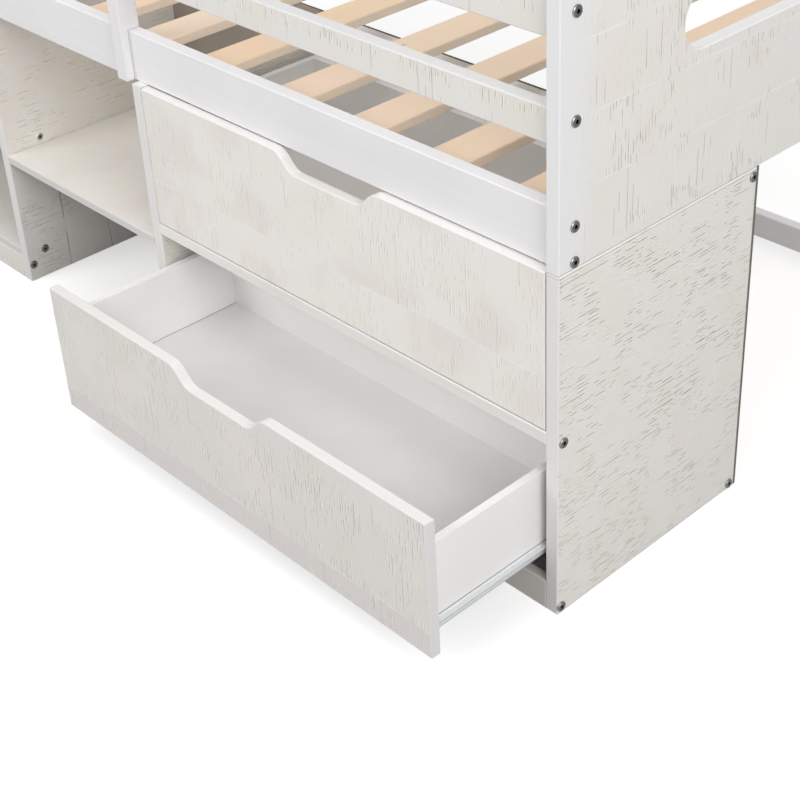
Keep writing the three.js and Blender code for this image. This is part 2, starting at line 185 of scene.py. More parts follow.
# End panels and rear legs
# Wide boards glued up from staves and white-washed over the saw marks, which run across the
# grain. The panels are bolted to the side rails, and the legs carry the back of the bed.
board_white = (0.845, 0.825, 0.79)
edge_white = (0.82, 0.805, 0.795)
cool_edge_white = (0.85, 0.85, 0.85)
pink_share = (1.0, 0.972, 0.962)
olive_share = (0.972, 0.978, 0.925)
odd_stave_share = (0.965, 0.935, 0.95)
# The saw marks are real cuts, and their dark is partly painted shade in the cut.
saw_mark_share = (0.56, 0.535, 0.475)
tan_share = (0.79, 0.74, 0.60)
stain_share = (0.975, 0.955, 0.865)
deep_scratch_share = (0.42, 0.38, 0.33)
seam_share = 0.22
# A painted highlight on the proud ridges beside the saw marks.
ridge_highlight_white = (1.0, 0.995, 0.975, 1)
glue_line_white = (0.93, 0.925, 0.91, 1)
joint_shadow = (0.17, 0.165, 0.16)
joint_highlight = (1.0, 1.0, 0.98)

wash_roughness = 0.62
wash_relief = 0.0006
ridge_height = 0.6
olive_strength = 0.8
stain_strength = 0.6
tan_strength = 0.62
saw_mark_strength = 0.85
ridge_highlight_strength = 1.3
fine_ridge_highlight_strength = 0.7
scratch_strength = 0.55
pin_knot_strength = 0.6
seam_strength = 0.65

saw_pitch = 0.0058
fine_saw_pitch = 0.0041
scratch_pitch = 0.013
saw_half_width = 0.0006
scratch_half_width = 0.8 * saw_half_width
stitch_length = 0.023
fine_stitch_length = 0.7 * stitch_length
scratch_stitch_length = 2.5 * stitch_length
saw_seed, fine_saw_seed, scratch_seed = 3, 40, 80
pin_knot_cell = 0.055
pin_knot_radius = 0.0011
glue_line_half_width = 0.0016
stave_change = 0.0005
seam_fade = 0.002
# Each line at a joint, painted shadow in the contact and a painted highlight on the arris below it:
# how far below it, half its width, its strength and its colour.
joint_lines = ((0.0, 0.0007, 0.6, joint_shadow), (0.0020, 0.0011, 0.9, joint_highlight),
               (0.0038, 0.0007, 0.5, joint_shadow))

board_step = 3.1
stave_step = 2.37
sawn_facing = (0.8, 0.98)
least_marked = 0.16
band_spread = 1.6
patches_per_metre = (15, 17, 3)
patch_detail = 3.0
stain_clouds = {"per_metre": (30, 12, 3), "detail": 1.0, "shift": (5, 5, 1), "fade": (0.44, 0.70)}
scratch_clouds = {"per_metre": (22, 9, 3), "detail": 1.0, "shift": (3, 9, 4), "fade": (0.53, 0.58)}
pink_clouds = {"per_metre": (9, 8, 3), "detail": 2.0, "shift": (4, 1, 8), "fade": (0.46, 0.64)}
olive_clouds = {"per_metre": (12, 10, 3), "detail": 2.0, "shift": (9, 5, 2), "fade": (0.50, 0.68)}
line_breaks = {"per_metre": (16, 2, 2), "detail": 2.0, "shift": (2, 2, 2), "fade": (0.42, 0.56)}


def tinted(colour, share=1.0):
    """A colour times a share, which is one number or one for each of red, green and blue."""
    shares = share if isinstance(share, tuple) else (share,) * 3
    return tuple(part * factor for part, factor in zip(colour, shares)) + (1,)


class Finish(Graph):
    """One surface finish, as the shader nodes of one material."""

    axis_number = {"x": 0, "y": 1, "z": 2}

    def __init__(self, name, roughness, metallic=0.0):
        self.material = bpy.data.materials.new(name)
        self.material.use_nodes = True
        super().__init__(self.material.node_tree)
        self.shader = self.tree.nodes["Principled BSDF"]
        self.shader.inputs["Roughness"].default_value = roughness
        self.shader.inputs["Metallic"].default_value = metallic
        place = self.tree.nodes.new("ShaderNodeTexCoord")
        self.place = place.outputs["Object"]
        self.facing = place.outputs["Normal"]

    def calculate(self, operation, first, second=0.5, third=0.5):
        return self.add("ShaderNodeMath", {0: first, 1: second, 2: third}, operation=operation)

    def times(self, *factors):
        product = factors[0]
        for factor in factors[1:]:
            product = self.calculate("MULTIPLY", product, factor)
        return product

    def plus(self, first, second):
        return self.calculate("ADD", first, second)

    def ramp(self, value, start, end, low=0.0, high=1.0):
        inputs = {"Value": value, "From Min": start, "From Max": end, "To Min": low, "To Max": high}
        return self.add("ShaderNodeMapRange", inputs, interpolation_type="SMOOTHSTEP")

    def line(self, value, middle, half_width):
        """One where a value is at the middle, and nought a half width from it."""
        solid_share = 0.4
        away = self.calculate("ABSOLUTE", self.calculate("SUBTRACT", value, middle))
        return self.ramp(away, solid_share * half_width, half_width, 1, 0)

    def noise(self, place, per_metre, detail=2.0, shift=(0, 0, 0)):
        stretched = self.add(
            "ShaderNodeMapping", {"Vector": place, "Scale": per_metre, "Location": shift})
        return self.add("ShaderNodeTexNoise", {"Vector": stretched, "Scale": 1.0, "Detail": detail})

    def clouds(self, place, per_metre, detail, shift, fade):
        """One inside the clouds of a noise and nought outside. fade is where it turns."""
        return self.ramp(self.noise(place, per_metre, detail, shift), *fade)

    def comb(self, along, over, pitch, half_width, stitch, seed):
        """Fine lines across the grain, one in each pitch and broken into stitches. Returns where
        they are cut and where the wood beside them stands proud."""
        first_place, wander, row_step, stitch_fade = 0.2, 0.4, 7.31, (0.51, 0.56)
        proud_offset, proud_half_width = 2.1 * half_width, 1.3 * half_width
        tooth = self.calculate("MULTIPLY_ADD", along, 1 / pitch, seed)
        number = self.calculate("FLOOR", tooth)
        own = self.add("ShaderNodeTexWhiteNoise", {"W": number}, "Value", noise_dimensions="1D")
        middle = self.calculate("MULTIPLY_ADD", own, wander, first_place)
        row = self.add("ShaderNodeCombineXYZ", {0: self.times(number, row_step), 1: over, 2: seed})
        stitches = self.clouds(row, (1, 1 / stitch, 1), 1.0, (0, 0, 0), stitch_fade)
        within = self.calculate("FRACT", tooth)
        cut = self.line(within, middle, half_width / pitch)
        beside = self.plus(middle, proud_offset / pitch)
        proud = self.line(within, beside, proud_half_width / pitch)
        return self.times(cut, stitches), self.times(proud, stitches)

    def mix(self, share, first, second, blend="MIX"):
        return self.add("ShaderNodeMix", {0: share, 6: first, 7: second}, 2, data_type="RGBA",
                        blend_type=blend)

    def coordinate(self, vector, axis):
        return self.add("ShaderNodeSeparateXYZ", {0: vector}, self.axis_number[axis])

    def colour(self, value):
        self.feed(self.shader.inputs["Base Color"], value)

    def relief(self, height, depth):
        bump = self.add("ShaderNodeBump", {"Height": height, "Strength": 1.0, "Distance": depth})
        self.feed(self.shader.inputs["Normal"], bump)


def cover(piece, finish):
    """Puts a finish on a piece that the model already holds."""
    piece_materials = nodes[piece].data.materials
    piece_materials.clear()
    piece_materials.append(finish.material)


def clouded_white(finish, board, white):
    """The plain white-wash, which is a little pinker or greener in clouds."""
    pinker = finish.mix(finish.clouds(board, **pink_clouds), white, tinted(board_white, pink_share))
    olive = finish.times(finish.clouds(board, **olive_clouds), olive_strength)
    return finish.mix(olive, pinker, tinted(white, olive_share))


def saw_cuts(finish, along, over, marked, lot):
    """Two combs of saw marks, dark and finer tan ones, and the proud ridges beside both, which carry
    a painted highlight. The dark of the marks is partly painted shade in the cuts.
    """
    cuts, ridges = finish.comb(along, over, saw_pitch, saw_half_width, stitch_length,
                             saw_seed + lot)
    fine_cuts, fine_ridges = finish.comb(along, over, fine_saw_pitch, saw_half_width,
                                       fine_stitch_length, fine_saw_seed + lot)
    highlit_ridges = finish.plus(finish.times(ridges, marked),
                        finish.times(fine_ridges, marked, fine_ridge_highlight_strength))
    return finish.times(cuts, marked), finish.times(fine_cuts, marked), highlit_ridges


def pin_knots(finish, board):
    """Small dark dots, one in each cell of a few centimetres."""
    cells = finish.add("ShaderNodeVectorMath", {0: board, 3: 1 / pin_knot_cell}, operation="SCALE")
    from_dot = finish.add("ShaderNodeTexVoronoi", {"Vector": cells, "Scale": 1.0}, "Distance")
    radius = pin_knot_radius / pin_knot_cell
    return finish.ramp(from_dot, 0.5 * radius, 1.6 * radius, 1, 0)


def rustic_finish(name, grain, across, lot, tone=1.0, wear=1.0, glue_lines=(), seams=(),
                  bare_margin=None, joint=None, edge=edge_white, odd_stave=None,
                  patchy=(0.42, 0.56), band=None, glue_share=0.75, seam_top=None):
    """White-wash on sawn staves. Combs of short saw marks run across the grain in patches, their dark
    partly painted shade in the cuts, with proud ridges beside them that carry a painted highlight.
    lot sets each board's pattern apart from the others'. glue_lines are proud white lines and seams
    are open dark ones, each at its place on the across axis. The marks fade out over bare_margin, two
    places along Y, and joint is the height where the board meets the one above or below, along which
    lines of painted shadow and painted highlight run. The stave up to odd_stave has a pinker wash.
    patchy sets how much of the board is marked, and band, two places on the across axis, keeps the
    marks between them. The seams end at the height seam_top."""
    finish = Finish(name, wash_roughness)
    through = ({"x", "y", "z"} - {grain, across}).pop()
    over = finish.coordinate(finish.place, across)
    along = finish.plus(finish.coordinate(finish.place, grain), board_step * lot)
    for place in (*glue_lines, *seams):
        next_stave = finish.calculate("GREATER_THAN", over, place)
        along = finish.calculate("MULTIPLY_ADD", next_stave, stave_step, along)
    deep = finish.coordinate(finish.place, through)
    board = finish.add("ShaderNodeCombineXYZ", {0: along, 1: over, 2: deep})
    facing_out = finish.calculate("ABSOLUTE", finish.coordinate(finish.facing, through))
    sawn = finish.ramp(facing_out, *sawn_facing)
    if bare_margin:
        sawn = finish.times(sawn, finish.ramp(finish.coordinate(finish.place, "y"), *bare_margin))

    patch = finish.ramp(finish.noise(board, patches_per_metre, patch_detail), *patchy, least_marked)
    if band:
        middle, reach = (band[0] + band[1]) / 2, (band[1] - band[0]) / 2
        patch = finish.times(patch, finish.line(over, middle, band_spread * reach))
    marked = finish.times(patch, sawn)
    saw_marks, tan_marks, highlit_ridges = saw_cuts(finish, along, over, marked, lot)
    stains = finish.times(finish.clouds(board, **stain_clouds), marked)
    long_cuts = finish.comb(along, over, scratch_pitch, scratch_half_width,
                            scratch_stitch_length, scratch_seed + lot)[0]
    scratches = finish.times(long_cuts, finish.clouds(board, **scratch_clouds), sawn)

    white = tinted(board_white, tone)
    wash = clouded_white(finish, board, white)
    if odd_stave:
        below = finish.ramp(over, odd_stave, odd_stave + stave_change, 1, 0)
        wash = finish.mix(below, wash, tinted(white, odd_stave_share))
    wash = finish.mix(sawn, tinted(edge, tone), wash)
    # The saw marks' dark is partly painted shade, and the ridges beside them get a painted highlight.
    for marks, strength, paint in (
            (stains, stain_strength * wear, tinted(white, stain_share)),
            (tan_marks, tan_strength * wear, tinted(white, tan_share)),
            (saw_marks, saw_mark_strength * wear, tinted(white, saw_mark_share)),
            (highlit_ridges, ridge_highlight_strength * wear, ridge_highlight_white),
            (scratches, scratch_strength * wear, tinted(white, deep_scratch_share)),
            (pin_knots(finish, board), pin_knot_strength, tinted(white, deep_scratch_share))):
        wash = finish.mix(finish.times(marks, strength), wash, paint)

    unbroken = finish.clouds(board, **line_breaks)
    height = finish.coordinate(finish.place, "z")
    seamed = finish.ramp(height, seam_top - seam_fade, seam_top, 1, 0) if seam_top else 1.0
    for places, paint, share in (
            (glue_lines, glue_line_white, glue_share),
            (seams, tinted(board_white, seam_share), finish.times(seamed, seam_strength))):
        for place in places:
            run = finish.times(finish.line(over, place, glue_line_half_width), unbroken, sawn)
            wash = finish.mix(finish.times(run, share), wash, paint)
    # Painted shadow and highlight lines along the joint.
    if joint:
        for lower, half_width, share, paint in joint_lines:
            contact = finish.line(height, joint - lower, half_width)
            wash = finish.mix(finish.times(contact, share), wash, tinted(paint))
    finish.colour(wash)

    raised = finish.calculate("SUBTRACT", finish.times(highlit_ridges, ridge_height),
                              finish.plus(saw_marks, scratches))
    finish.relief(raised, wash_relief * wear)
    return finish


front_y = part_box("cabinet_side_right")[0].y
deck_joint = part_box("end_panel_right")[0].z
bare_front_edge = (front_y + 0.024, front_y + 0.075)
panel_seams = (0.655, 0.751, 0.847, 0.943)
for lot, panel in enumerate(("end_panel_right", "end_panel_left"), start=1):
    cover(panel, rustic_finish(panel + " white-wash", "y", "z", lot, wear=0.95,
                               glue_lines=panel_seams, bare_margin=bare_front_edge,
                               joint=deck_joint, edge=cool_edge_white, patchy=(0.50, 0.62)))
for lot, leg in enumerate(("rear_leg_right", "rear_leg_left"), start=3):
    cover(leg, rustic_finish(leg + " white-wash", "z", "y", lot, wear=0.8))


# Cabinets under the deck
# The sides of the drawer cabinet and of the bookcase are staved boards on end, and the shelves lie
# between them. All have the same white-wash, with the grain along the board.
shelf_edge_white = (0.70, 0.675, 0.665)
stave_width = 0.096
side_wear = {"cabinet": 1.12, "bookcase": 0.9}
side_patchy = {"cabinet": (0.42, 0.57), "bookcase": (0.46, 0.60)}
shelf_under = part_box("bay_shelf")[0].z
first_stave = {"cabinet_side_right": 0.147, "cabinet_side_left": 0.147,
               "bookcase_side_right": 0.092, "bookcase_side_left": 0.092}
for lot, (board, first) in enumerate(first_stave.items(), start=5):
    stave_seams = [front_y + first + number * stave_width for number in range(3)]
    outside = board in ("cabinet_side_right", "bookcase_side_left")
    carcass = board.split("_")[0]
    cover(board, rustic_finish(board + " white-wash", "z", "y", lot,
                               wear=side_wear[carcass], patchy=side_patchy[carcass],
                               glue_lines=stave_seams if outside else (), glue_share=0.35,
                               seams=() if outside else stave_seams, seam_top=shelf_under,
                               joint=deck_joint if outside else None))
for lot, board in enumerate(("bay_shelf", "bookcase_bottom", "bookcase_shelf"), start=9):
    cover(board, rustic_finish(board + " white-wash", "x", "y", lot, tone=1.02, wear=0.3,
                               edge=shelf_edge_white, patchy=(0.50, 0.64)))
cover("bookcase_plinth", rustic_finish("bookcase plinth white-wash", "x", "z", 12))


# Guard boards
# Narrow sawn boards, white-washed and bolted at their ends. Two run on each side of the entry in
# front, and two along the back.
guard_edge_white = (0.79, 0.79, 0.79)
marks_below_top = (0.021, 0.004)
guards = [name for name in nodes if "guard" in name and "post" not in name]
for lot, guard in enumerate(sorted(guards), start=13):
    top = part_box(guard)[1].z
    cover(guard, rustic_finish(guard + " white-wash", "x", "z", lot, edge=guard_edge_white,
                               patchy=(0.36, 0.46),
                               band=[top - lower for lower in marks_below_top]))


# Side rails, posts and stretcher
# Planed pine, sprayed white. The rails carry the deck, the posts stand beside the entry, and the
# stretcher joins the rear legs near the floor. The rails in the drawer cabinet are the same.
grain_tint = (0.92, 0.915, 0.905)
paint_roughness = 0.42
peel_per_metre = (420, 420, 420)
shade_per_metre = (5, 5, 5)
foot_shade_half_width = 0.0016
foot_shade_strength = 0.85
foot_shade_share = 0.25
paint_relief = 0.0002


def along_grain(grain, along, across):
    """A noise's scale per metre on each axis, which is finer across the grain."""
    return tuple(along if axis == grain else across for axis in "xyz")


def painted_finish(name, grain, paint, lot=0, grain_show=1.0, foot=None):
    """A sprayed coat over planed wood, which lets a little of the grain through. foot is the height
    at which a wall meets the drawer bottom, where a dark line of painted shade runs in the corner."""
    finish = Finish(name, paint_roughness)
    shift = (lot, 2 * lot, 3 * lot)
    grain_lines = finish.noise(finish.place, along_grain(grain, 2.5, 70.0), 3.0, shift)
    peel = finish.noise(finish.place, peel_per_metre, 1.0)
    shade = finish.noise(finish.place, shade_per_metre, 2.0, shift)
    tone = finish.plus(finish.ramp(grain_lines, 0.45, 0.75, 0, 0.3 * grain_show),
                       finish.ramp(shade, 0.4, 0.7, 0, 0.45))
    coat = finish.mix(tone, tinted(paint), tinted(paint, grain_tint))
    if foot:
        # Painted shade in the corner where the wall meets the bottom.
        foot_shade = finish.line(finish.coordinate(finish.place, "z"), foot, foot_shade_half_width)
        coat = finish.mix(finish.times(foot_shade, foot_shade_strength), coat, tinted(paint, foot_shade_share))
    finish.colour(coat)
    raised = finish.plus(finish.times(grain_lines, 0.6 * grain_show), finish.times(peel, 0.35))
    finish.relief(raised, paint_relief)
    return finish


rail_paint = (0.865, 0.855, 0.87)
cabinet_rail_paint = (0.85, 0.83, 0.81)
back_rail_paint = (0.93, 0.93, 0.92)
# The plinth's paint is darker than the rails', a painted shade for the dark under the drawers.
shaded_plinth_paint = (0.64, 0.61, 0.57)
for lot, rail in enumerate(("front_side_rail", "rear_side_rail", "rear_stretcher")):
    cover(rail, painted_finish(rail + " paint", "x", rail_paint, lot))
cover("cabinet_mid_rail", painted_finish("cabinet mid rail paint", "x", cabinet_rail_paint, 3))
cover("cabinet_back_rail", painted_finish("cabinet back rail paint", "x", back_rail_paint, 4))
cover("cabinet_plinth", painted_finish("cabinet plinth shaded paint", "x", shaded_plinth_paint, 5))
for lot, post in enumerate(("guard_post_right", "guard_post_left"), start=6):
    cover(post, painted_finish(post + " paint", "z", rail_paint, lot))


# Deck
# Twelve slats of bare planed pine, loose on two pine ledgers that are screwed to the side rails.
# Each slat has its own shade, with a few small knots.
pine_light = (0.93, 0.765, 0.61)
pine_late = (0.82, 0.60, 0.41)
pine_rosy_share = (1.0, 0.95, 0.99)
pine_knot = (0.36, 0.20, 0.10)
lit_pine_edge = (0.95, 0.80, 0.65)
pine_warm_share = (1.0, 0.94, 0.82, 1)
most_shade = 0.25
growth_lines_per_metre = 130.0
growth_line_bend = 9.0
knots_per_metre = {"across": 14.0, "along": 5.0}
knot_step = 3.7
knot_strength = 0.6
rosy_clouds = {"per_metre": (9, 5, 9), "detail": 2.0, "fade": (0.45, 0.65)}
rosy_strength = 0.8
pine_roughness = 0.58
pine_relief = 0.00015


def pine_finish(name, grain, across, lot):
    """Planed pine with growth lines that wander along the board and bend round its knots."""
    finish = Finish(name, pine_roughness)
    along = finish.coordinate(finish.place, grain)
    over = finish.coordinate(finish.place, across)
    shift = (1.7 * lot, 0.9 * lot, 0.3 * lot)
    wander = finish.noise(finish.place, along_grain(grain, 1.6, 8.0), 2.0, shift)
    knots_place = finish.add(
        "ShaderNodeCombineXYZ",
        {0: finish.times(over, knots_per_metre["across"]),
         1: finish.calculate("MULTIPLY_ADD", along, knots_per_metre["along"], knot_step * lot),
         2: lot})
    from_knot = finish.add("ShaderNodeTexVoronoi", {"Vector": knots_place, "Scale": 1.0},
                           "Distance")
    knot = finish.ramp(from_knot, 0.03, 0.07, 1, 0)
    round_knot = finish.ramp(from_knot, 0.0, 0.5, 0.22, 0)
    rings = finish.plus(finish.times(over, growth_lines_per_metre),
                        finish.times(finish.plus(wander, round_knot), growth_line_bend))
    late_wood = finish.ramp(finish.calculate("FRACT", rings), 0.3, 0.95)
    fibres = finish.noise(finish.place, along_grain(grain, 12.0, 700.0), 2.0)
    chance = random.Random(lot)
    shade, warmth = chance.uniform(0.0, most_shade), chance.uniform(0.0, 1.0)
    streaked = finish.plus(finish.times(late_wood, 0.26),
                           finish.times(finish.calculate("SUBTRACT", fibres, 0.5), 0.4))
    tone = finish.plus(finish.times(streaked, finish.ramp(wander, 0.3, 0.7, 0.4, 1.1)), shade)
    wood = finish.mix(tone, tinted(pine_light), tinted(pine_late))
    rosy = finish.clouds(finish.place, shift=shift, **rosy_clouds)
    blushed = finish.mix(finish.times(rosy, rosy_strength), wood,
                         tinted(pine_light, pine_rosy_share))
    own = finish.mix(warmth, blushed, pine_warm_share, "MULTIPLY")
    # The side faces are painted paler than the top, a painted light against the shade they are in.
    facing_up = finish.ramp(finish.coordinate(finish.facing, "z"), 0.3, 0.9)
    edges_lit = finish.mix(facing_up, tinted(lit_pine_edge), own)
    finish.colour(finish.mix(finish.times(knot, knot_strength), edges_lit, tinted(pine_knot)))
    finish.relief(finish.plus(fibres, finish.times(late_wood, 0.3)), pine_relief)
    return finish


slats = sorted(name for name in nodes if name.startswith("slat_"))
for lot, slat in enumerate(slats, start=1):
    cover(slat, pine_finish(slat + " pine", "y", "x", lot))
for lot, ledger in enumerate(("front_slat_ledger", "rear_slat_ledger"), start=20):
    cover(ledger, pine_finish(ledger + " pine", "x", "z", lot))


# Drawers
# Each front is a staved board with a scooped hand-hold, white-washed like the cabinet. The box
# behind it has painted sides and back, and a thin painted bottom that lies in grooves.
drawers = ("lower_drawer", "upper_drawer")
# The upper front is painted lighter and the lower one darker, standing in for the stronger light on
# the higher front.
painted_front_light = {"lower_drawer": 0.955, "upper_drawer": 1.055}
front_wears = {"lower_drawer": 0.85, "upper_drawer": 0.54}
front_glue_lines = {"lower_drawer": 0.0955, "upper_drawer": 0.390}
pink_foots = {"lower_drawer": front_glue_lines["lower_drawer"], "upper_drawer": None}
box_paint = (0.91, 0.895, 0.89)
drawer_bottom_paint = (0.91, 0.905, 0.895)
for lot, drawer in enumerate(drawers, start=30):
    floor_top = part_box(drawer + "_bottom")[1].z
    cover(drawer + "_front",
          rustic_finish(drawer + " white-wash", "x", "z", lot, tone=painted_front_light[drawer],
                        wear=front_wears[drawer], patchy=(0.43, 0.59),
                        glue_lines=(front_glue_lines[drawer],), odd_stave=pink_foots[drawer]))
    for wall, grain in (("side_left", "y"), ("side_right", "y"), ("back", "x")):
        foot = None if wall == "back" else floor_top
        cover(f"{drawer}_{wall}", painted_finish(f"{drawer} {wall} paint", grain, box_paint, lot,
                                                 grain_show=0.15, foot=foot))
    cover(drawer + "_bottom", painted_finish(drawer + " bottom paint", "x", drawer_bottom_paint,
                                             lot, grain_show=0.1))


# Back panels
# Thin brown hardboard pinned over the back of the cabinets, smooth on the side that faces the
# front, woven-looking behind and dark on its sawn edges.
hardboard_smooth = (0.40, 0.345, 0.30)
hardboard_rough = (0.30, 0.235, 0.18)
hardboard_edge = (0.13, 0.115, 0.10)
rough_shades = (1.0, 1.35)
smooth_shades = (0.95, 1.1)
fibres_per_metre = (260, 260, 260)
mottle_per_metre = (7, 7, 7)
screen_radians_per_metre = 3800.0
hardboard_roughness = 0.7
hardboard_relief = 0.0002
back_panels = ("cabinet_back_panel", "bookcase_back_panel")


def hardboard_finish(name):
    """Pressed fibre, with the print of the press's screen on the side that faces the back."""
    finish = Finish(name, hardboard_roughness)
    fibre = finish.noise(finish.place, fibres_per_metre, 4.0)
    mottle = finish.noise(finish.place, mottle_per_metre, 3.0)
    screen = finish.times(*[
        finish.calculate("SINE", finish.times(finish.coordinate(finish.place, axis),
                                              screen_radians_per_metre))
        for axis in "xz"])
    towards_back = finish.coordinate(finish.facing, "y")
    smooth_side = finish.ramp(towards_back, -0.9, -0.5, 1, 0)
    flat = finish.ramp(finish.calculate("ABSOLUTE", towards_back), 0.5, 0.9)
    shade = finish.times(finish.plus(fibre, mottle), 0.5)
    rough, smooth = [
        finish.mix(shade, tinted(colour, shades[0]), tinted(colour, shades[1]))
        for colour, shades in ((hardboard_rough, rough_shades), (hardboard_smooth, smooth_shades))]
    faces = finish.mix(smooth_side, rough, smooth)
    finish.colour(finish.mix(flat, tinted(hardboard_edge), faces))
    finish.relief(finish.plus(fibre, finish.times(screen, 0.5)), hardboard_relief)
    return finish


for panel in back_panels:
    cover(panel, hardboard_finish(panel + " fibre"))


# Drawer slides
# Folded steel angles under the drawer sides and channels on the cabinet, powder-coated pale grey.
# Each carries one white nylon roller, which runs on the other.
slide_grey = (0.72, 0.75, 0.765)
speckle_share = 1.1
scuff_share = 0.8
slide_edge_shadow_grey = (0.30, 0.31, 0.32)
edge_shadow_half_width = 0.0010
edge_shadow_strength = 0.8
nylon_white = (0.84, 0.84, 0.81)
speckles_per_metre = (900, 900, 900)
scuffs_per_metre = (60, 6, 60)
coat_roughness = 0.38
coat_relief = 0.0001
slide_sheet = 0.0012
roller_reach = 0.0068
roller_rim = 0.0003
roller_inset = 0.008
drawer_roller_rise = 0.004
cabinet_roller_drop = 0.0065
channel_lip_rise = 0.0114


def powder_coat(name, roller_centre, edges):
    """roller_centre is the roller's place on Y and Z. Within its reach the finish is nylon. edges are
    the heights of the member's edges, where a dark line is painted: partly the steel's cut edge and
    partly painted contact shadow."""
    finish = Finish(name, coat_roughness)
    height = finish.coordinate(finish.place, "z")
    speckle = finish.noise(finish.place, speckles_per_metre, 2.0)
    scuffs = finish.ramp(finish.noise(finish.place, scuffs_per_metre, 2.0), 0.5, 0.7, 0, 0.3)
    coat = finish.mix(finish.times(speckle, 0.3), tinted(slide_grey),
                      tinted(slide_grey, speckle_share))
    coat = finish.mix(scuffs, coat, tinted(slide_grey, scuff_share))
    upright = finish.ramp(finish.calculate("ABSOLUTE", finish.coordinate(finish.facing, "z")),
                          0.3, 0.7, 1, 0)
    # Dark lines at the edges, partly the steel's cut edge and partly painted contact shadow.
    for edge in edges:
        edge_shadow = finish.times(finish.line(height, edge, edge_shadow_half_width), upright)
        coat = finish.mix(finish.times(edge_shadow, edge_shadow_strength), coat,
                          tinted(slide_edge_shadow_grey))
    steps = [finish.calculate("SUBTRACT", finish.coordinate(finish.place, axis), middle)
             for axis, middle in zip("yz", roller_centre)]
    away = finish.calculate("SQRT", finish.plus(*[finish.times(step, step) for step in steps]))
    nylon = finish.ramp(away, roller_reach, roller_reach + roller_rim, 1, 0)
    finish.colour(finish.mix(nylon, coat, tinted(nylon_white)))
    finish.relief(speckle, coat_relief)
    return finish


for drawer in drawers:
    for side in ("left", "right"):
        member = f"{drawer}_slide_{side}"
        channel = f"{drawer}_channel_{side}"
        wood_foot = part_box(f"{drawer}_side_{side}")[0].z
        member_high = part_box(member)[1]
        channel_low, channel_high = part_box(channel)
        drawer_roller = (member_high.y - roller_inset, wood_foot + drawer_roller_rise)
        cabinet_roller = (channel_low.y + roller_inset, channel_high.z - cabinet_roller_drop)
        member_edges = (wood_foot - slide_sheet / 2, member_high.z - slide_sheet / 2)
        channel_edges = (channel_low.z + slide_sheet / 2, wood_foot + channel_lip_rise)
        cover(member, powder_coat(member + " coat", drawer_roller, member_edges))
        cover(channel, powder_coat(channel + " coat", cabinet_roller, channel_edges))


# Bolts and barrel nuts
# Flat steel heads with a chamfered rim and a hexagonal socket, polished dark, and one plated pale
# over the bay's shelf. They draw the boards against barrel nuts, whose slotted ends show on the
# inner faces of the rails and guards.
bolt_radius = 0.0082
bolt_rise = 0.0022
bolt_chamfer = 0.0012
bolt_socket_radius = 0.0029
bolt_socket_depth = 0.0018
bolt_sides = 28
rim_highlight_width = 0.0008
dark_steel_grey = (0.12, 0.12, 0.122)
pale_steel_grey = (0.40, 0.40, 0.39)
zinc_grey = (0.62, 0.62, 0.60)
scuffs_on_metal_per_metre = (900, 900, 900)
# Shares for the scuffs, the painted rim highlight and the painted shade in the recess.
scuffed_share, rim_highlight_share, recess_shade_share = 0.7, 2.2, 0.15
scuff_strength, rim_highlight_strength, recess_shade_strength = 0.8, 0.8, 0.85
metal_relief = 0.00008


def declare_inputs(tree, inputs):
    """Declares a tree's inputs, and returns a node output for each."""
    tree.interface.new_socket("Geometry", in_out="INPUT", socket_type="NodeSocketGeometry")
    for label, kind in inputs.items():
        tree.interface.new_socket(label, in_out="INPUT", socket_type=kind)
    tree.interface.new_socket("Geometry", in_out="OUTPUT", socket_type="NodeSocketGeometry")
    return tree.nodes.new("NodeGroupInput").outputs


def turned_head(graph, given):
    """A round head that stands on the board, with its rim chamfered."""
    blank = graph.tree.nodes.new("GeometryNodeMeshCylinder")
    graph.feed(blank.inputs["Vertices"], given["Sides"])
    graph.feed(blank.inputs["Radius"], given["Radius"])
    graph.feed(blank.inputs["Depth"], given["Rise"])
    lift = graph.tree.nodes.new("GeometryNodeExtrudeMesh")
    graph.feed(lift.inputs["Mesh"], blank.outputs["Mesh"])
    graph.feed(lift.inputs["Selection"], blank.outputs["Top"])
    graph.feed(lift.inputs["Offset Scale"], given["Chamfer"])
    lift.inputs["Individual"].default_value = False
    narrow = graph.add("ShaderNodeMath", {0: given["Radius"], 1: given["Chamfer"]},
                       operation="SUBTRACT")
    share = graph.add("ShaderNodeMath", {0: narrow, 1: given["Radius"]}, operation="DIVIDE")
    return graph.add("GeometryNodeScaleElements",
                     {"Geometry": lift.outputs["Mesh"], "Selection": lift.outputs["Top"],
                      "Scale": share})


def cut_recess(graph, given, head, cutters):
    """Sinks the cutters into a head's top, to the recess depth."""
    half_rise = graph.add("ShaderNodeMath", {0: given["Rise"], 1: 0.5}, operation="MULTIPLY")
    top = graph.add("ShaderNodeMath", {0: half_rise, 1: given["Chamfer"]}, operation="ADD")
    cutter_middle = graph.add("ShaderNodeMath", {0: top, 1: given["Recess depth"]},
                              operation="SUBTRACT")
    lifted = graph.add("ShaderNodeMath", {0: cutter_middle, 1: given["Radius"]}, operation="ADD")
    up = graph.add("ShaderNodeCombineXYZ", {2: lifted})
    joined = graph.tree.nodes.new("GeometryNodeMeshBoolean")
    joined.operation = "DIFFERENCE"
    graph.feed(joined.inputs["Mesh 1"], head)
    for cutter in cutters:
        placed = graph.add("GeometryNodeTransform", {"Geometry": cutter, "Translation": up})
        graph.tree.links.new(placed, joined.inputs["Mesh 2"])
    return joined.outputs["Mesh"]


